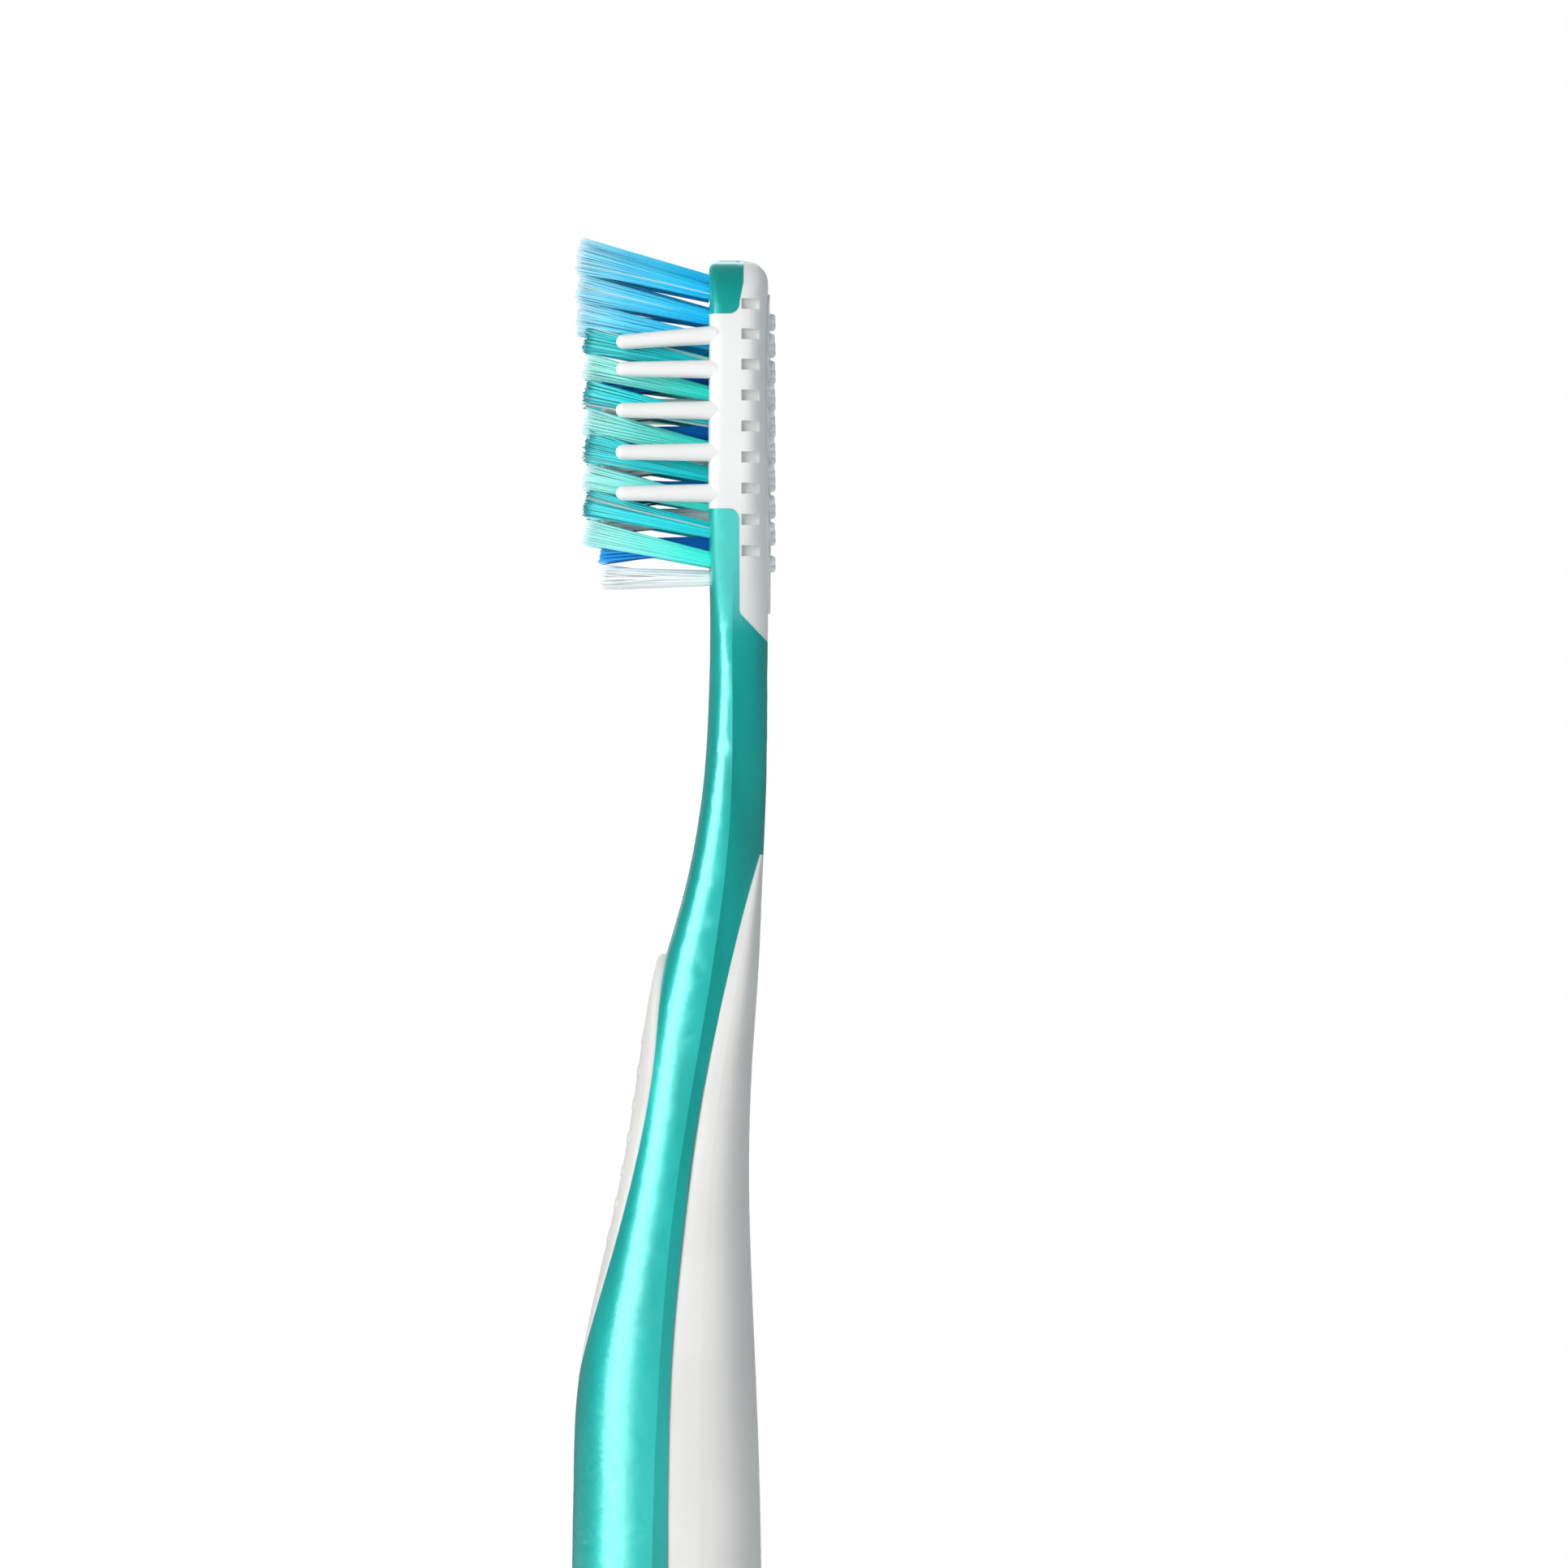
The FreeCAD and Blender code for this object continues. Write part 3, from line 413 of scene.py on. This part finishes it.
def finish_node(node, material):
    """Gives a CAD node's object its one material."""
    piece = frame["nodes"][node]
    piece.data.materials.clear()
    piece.data.materials.append(material)


class BRUSH_OT_core(bpy.types.Operator):
    """Finishes the hard core"""
    bl_idname = "brush.core"
    bl_label = "Core"

    def execute(self, context):
        finish_node("handle_core", pearl_plastic(context.scene.brush_colours))
        return {"FINISHED"}


class BRUSH_OT_anchors(bpy.types.Operator):
    """Finishes the metal anchors"""
    bl_idname = "brush.anchors"
    bl_label = "Anchors"

    def execute(self, context):
        finish_node("tuft_anchors", rolled_brass())
        return {"FINISHED"}


class BRUSH_OT_grips(bpy.types.Operator):
    """Finishes the thumb pad and the back grip"""
    bl_idname = "brush.grips"
    bl_label = "Soft grips"

    def execute(self, context):
        look = context.scene.brush_colours
        # Painted shade: the grip whites are darker than the head whites for the lower light there
        material = soft_elastomer("white_elastomer_moulded_grip_painted_shade", look.grip, look.grip_dark, 0.25, 0.5)
        finish_node("thumb_pad", material)
        finish_node("back_grip", material)
        return {"FINISHED"}


class BRUSH_OT_head(bpy.types.Operator):
    """Finishes the head rubber"""
    bl_idname = "brush.head"
    bl_label = "Head rubber"

    def execute(self, context):
        look = context.scene.brush_colours
        material = soft_elastomer("white_elastomer_moulded_head", look.head, look.head_dark, 0.2, 0.45)
        finish_node("head_rubber", material)
        return {"FINISHED"}


class BRUSH_OT_cleaner(bpy.types.Operator):
    """Finishes the tongue cleaner"""
    bl_idname = "brush.cleaner"
    bl_label = "Tongue cleaner"

    def execute(self, context):
        finish_node("tongue_cleaner", milky_elastomer(context.scene.brush_colours))
        return {"FINISHED"}


class BRUSH_OT_bristles(bpy.types.Operator):
    """Grows the filaments of every tuft in place of its solid"""
    bl_idname = "brush.bristles"
    bl_label = "Bristles"

    def execute(self, context):
        finishes = {slot: extruded_nylon(slot, context.scene.brush_colours) for slot in NYLONS}
        tree = tuft_tree()
        for number, node in enumerate(sorted(name for name in SLOTS if SLOTS[name] in NYLONS)):
            mesh = grow_tuft(tree, node, number * SEED_STEP, finishes[SLOTS[node]])
            if not mesh.polygons:
                raise RuntimeError(node + " grew no filaments")
            piece = bpy.data.objects.new(node + "_filaments", mesh)
            mesh.name = piece.name
            context.scene.collection.objects.link(piece)
            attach(piece, BODY)
            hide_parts(node)
        return {"FINISHED"}


class BRUSH_OT_stage(bpy.types.Operator):
    """Adds the pale floor, the soft studio light, the white surround and the camera"""
    bl_idname = "brush.stage"
    bl_label = "Studio"

    def execute(self, context):
        context.scene.view_settings.view_transform = "Standard"
        self.floor(context)
        self.softbox("key", (0.86, -0.72, 0.42), (0.85, 1.2), 14.6, "#FFFFFF")
        # The fill stands for light off a matt card, so it leaves no shine on the plastic
        self.softbox("right fill", (0.35, 1.10, 0.40), (1.0, 1.2), 3.8, "#E4F4FF", shines=False)
        self.softbox("back", (-0.85, -0.10, 0.60), (0.8, 0.8), 4.5, "#FFFFFF")
        self.surround(context.scene)
        self.camera(context.scene)
        return {"FINISHED"}

    def floor(self, context):
        """Pale painted board that looks near white to the camera and keeps the brush's shadow."""
        bpy.ops.mesh.primitive_circle_add(vertices=96, radius=0.5, fill_type="NGON")
        board = context.object
        board.name = "studio_floor"
        material, tree, shader = new_material("painted_board_matt", {"Roughness": 0.9})
        place = add(tree, "ShaderNodeTexCoord").outputs["Object"]
        mottle = add(tree, "ShaderNodeTexNoise", {"Vector": place, "Scale": per_metre(60.0)})
        colour = add(tree, "ShaderNodeValToRGB", {"Fac": mottle}, [
            (0.4, linear("#F4F4F4")), (0.6, linear("#F6F6F6"))])
        path = add(tree, "ShaderNodeLightPath").outputs
        shown = add(tree, "ShaderNodeMath", {0: path["Is Camera Ray"], 1: path["Is Glossy Ray"]},
                    operation="MAXIMUM")
        shown = add(tree, "ShaderNodeMath", {0: shown, 1: path["Is Transmission Ray"]}, operation="MAXIMUM")
        lift = 0.4
        glow = add(tree, "ShaderNodeMath", {0: shown, 1: lift}, operation="MULTIPLY")
        tree.links.new(colour.outputs["Color"], shader.inputs["Base Color"])
        tree.links.new(colour.outputs["Color"], shader.inputs["Emission Color"])
        tree.links.new(glow.outputs[0], shader.inputs["Emission Strength"])
        board.data.materials.append(material)

    def softbox(self, name, place, size, power, tint, shines=True):
        """Rectangular lamp that faces the upper part of the brush."""
        data = bpy.data.lights.new(name, "AREA")
        data.shape = "RECTANGLE"
        data.size, data.size_y = size
        data.energy = power
        data.color = linear(tint)[:3]
        lamp = bpy.data.objects.new(name, data)
        lamp.location = place
        lamp.visible_glossy = shines
        aim = Vector((0.0, 0.0, 130 * MM)) - Vector(place)
        lamp.rotation_euler = aim.to_track_quat("-Z", "Y").to_euler()
        bpy.context.scene.collection.objects.link(lamp)

    def surround(self, scene):
        """White to the camera; gloss sees dark cards that draw the edges, a little paler behind the brush."""
        world = bpy.data.worlds.new("studio_surround")
        scene.world = world
        world.use_nodes = True
        tree = world.node_tree
        tree.nodes.clear()
        path = add(tree, "ShaderNodeLightPath").outputs
        clear = add(tree, "ShaderNodeMath", {0: path["Is Camera Ray"], 1: path["Is Transmission Ray"]},
                    operation="MAXIMUM")
        way = add(tree, "ShaderNodeSeparateXYZ", {0: add(tree, "ShaderNodeTexCoord").outputs["Generated"]})
        gloss = add(tree, "ShaderNodeMapRange", {
            "Value": way.outputs["X"], "From Min": 0.6, "From Max": -0.6, "To Min": 0.04, "To Max": 0.12},
            interpolation_type="SMOOTHSTEP")
        ambient = scene.studio_sizes.ambient
        level = add(tree, "ShaderNodeMix", {0: path["Is Glossy Ray"], 2: ambient, 3: gloss})
        level = add(tree, "ShaderNodeMix", {0: clear, 2: level, 3: 1.0})
        light = add(tree, "ShaderNodeBackground", {"Color": linear("#FFFFFF"), "Strength": level})
        add(tree, "ShaderNodeOutputWorld", {"Surface": light})

    def camera(self, scene):
        """Looks level along -X at the side of the brush."""
        sizes = scene.studio_sizes
        view = bpy.data.cameras.new("view")
        view.lens = view.sensor_width * sizes.distance / sizes.framed
        camera = bpy.data.objects.new("view", view)
        camera.location = Vector(sizes.centre) + Vector((sizes.distance, 0.0, 0.0))
        camera.rotation_euler = (math.radians(90), 0.0, math.radians(90))
        scene.collection.objects.link(camera)
        scene.camera = camera


class BRUSH_PT_panel(bpy.types.Panel):
    """Lists the settings and the steps in the sidebar"""
    bl_idname = "BRUSH_PT_panel"
    bl_label = "Toothbrush"
    bl_space_type = "VIEW_3D"
    bl_region_type = "UI"
    bl_category = "Toothbrush"

    def draw(self, context):
        for name, kind in GROUPS.items():
            box = self.layout.box()
            for field in kind.__annotations__:
                box.prop(getattr(context.scene, name), field)
        for step in STEPS:
            self.layout.operator(step.bl_idname)


STEPS = (BRUSH_OT_stage, BRUSH_OT_core, BRUSH_OT_anchors, BRUSH_OT_grips, BRUSH_OT_head, BRUSH_OT_cleaner,
         BRUSH_OT_bristles)
GROUPS = {"brush_colours": BrushColours, "bristle_sizes": BristleSizes, "studio_sizes": StudioSizes}
CLASSES = tuple(GROUPS.values()) + STEPS + (BRUSH_PT_panel,)


def register():
    for kind in CLASSES:
        bpy.utils.register_class(kind)
    for name, kind in GROUPS.items():
        setattr(bpy.types.Scene, name, bpy.props.PointerProperty(type=kind))


def unregister():
    for name in GROUPS:
        delattr(bpy.types.Scene, name)
    for kind in reversed(CLASSES):
        bpy.utils.unregister_class(kind)


def main():
    register()
    bpy.ops.brush.stage()
    bpy.ops.brush.core()
    bpy.ops.brush.anchors()
    bpy.ops.brush.grips()
    bpy.ops.brush.head()
    bpy.ops.brush.cleaner()
    bpy.ops.brush.bristles()


if __name__ == "__main__":
    main()
